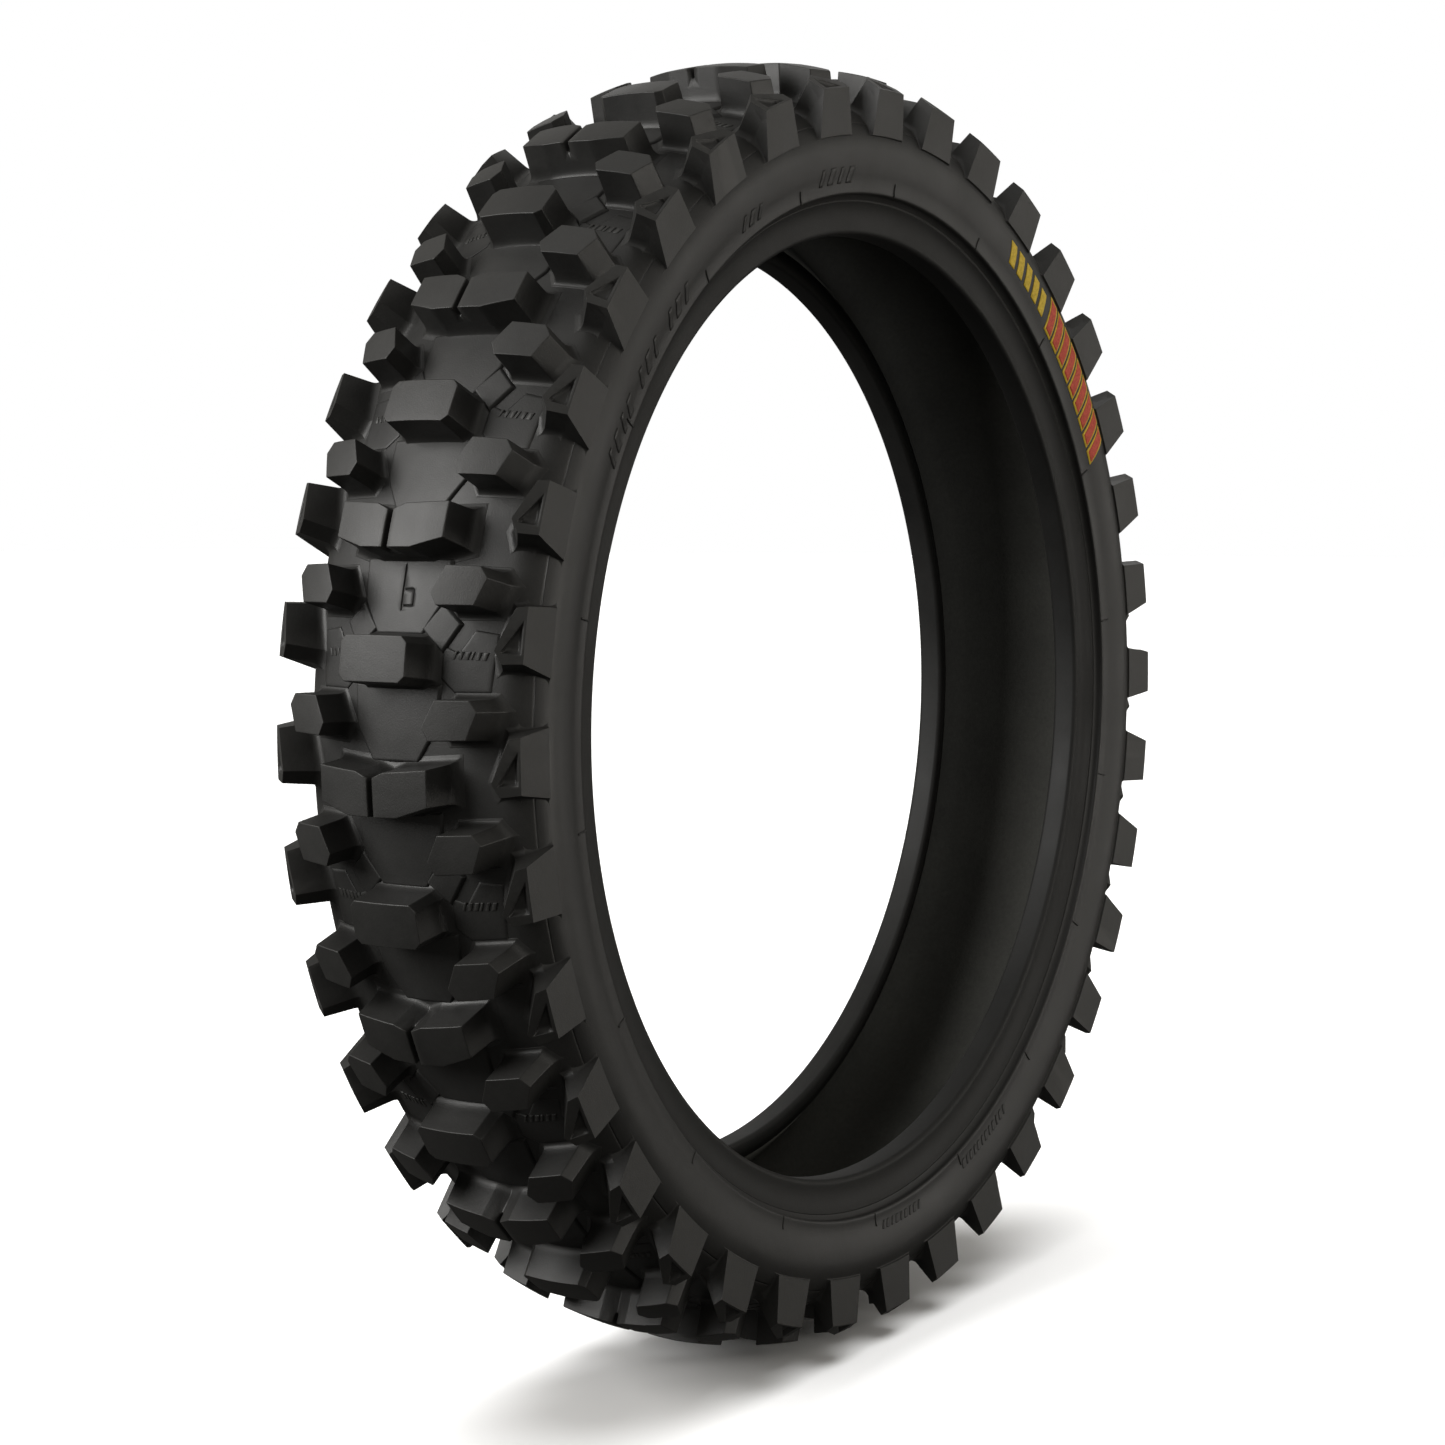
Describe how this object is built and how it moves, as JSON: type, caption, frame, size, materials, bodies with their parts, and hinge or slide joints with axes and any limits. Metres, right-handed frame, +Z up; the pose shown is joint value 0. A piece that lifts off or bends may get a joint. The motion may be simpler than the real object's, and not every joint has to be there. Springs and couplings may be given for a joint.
{
  "type": "motorcycle tyre",
  "caption": "Off-road motorcycle tyre, off the rim: a layered ring casing with wired beads and rows of separate chunky tread blocks.",
  "frame": {"origin": "centre of the tyre, on its axle line, midway between the beads", "axes": "+Y along the axle line; +Z up, with the tyre standing upright on its tread; X across, front to back"},
  "size_m": [0.6596, 0.135, 0.6582],
  "materials": {
    "tread_rubber": "satin",
    "sidewall_rubber": "satin",
    "chafer_rubber": "satin",
    "liner_rubber": "satin",
    "base_rubber": "matt",
    "ply_cord": "matt",
    "bead_wire": "satin",
    "label_yellow": "satin",
    "label_red": "satin"
  },
  "bodies": {
    "root": {"tread_cap": "tread_rubber", "under_tread": "base_rubber", "breaker_ply": "ply_cord", "body_ply_outer": "ply_cord", "body_ply_inner": "ply_cord", "inner_liner": "liner_rubber", "centre_blocks_plain": "tread_rubber", "centre_blocks_split": "tread_rubber", "groove_platforms_centre": "tread_rubber", "sidewall_left": "sidewall_rubber", "chafer_left": "chafer_rubber", "bead_filler_left": "base_rubber", "bead_rubber_left": "base_rubber", "bead_wires_left": "bead_wire", "intermediate_blocks_left": "tread_rubber", "shoulder_blocks_left": "tread_rubber", "groove_platforms_left": "tread_rubber", "label_yellow_left": "label_yellow", "label_red_left": "label_red", "sidewall_right": "sidewall_rubber", "chafer_right": "chafer_rubber", "bead_filler_right": "base_rubber", "bead_rubber_right": "base_rubber", "bead_wires_right": "bead_wire", "intermediate_blocks_right": "tread_rubber", "shoulder_blocks_right": "tread_rubber", "groove_platforms_right": "tread_rubber", "label_yellow_right": "label_yellow", "label_red_right": "label_red"}
  },
  "joints": []
}
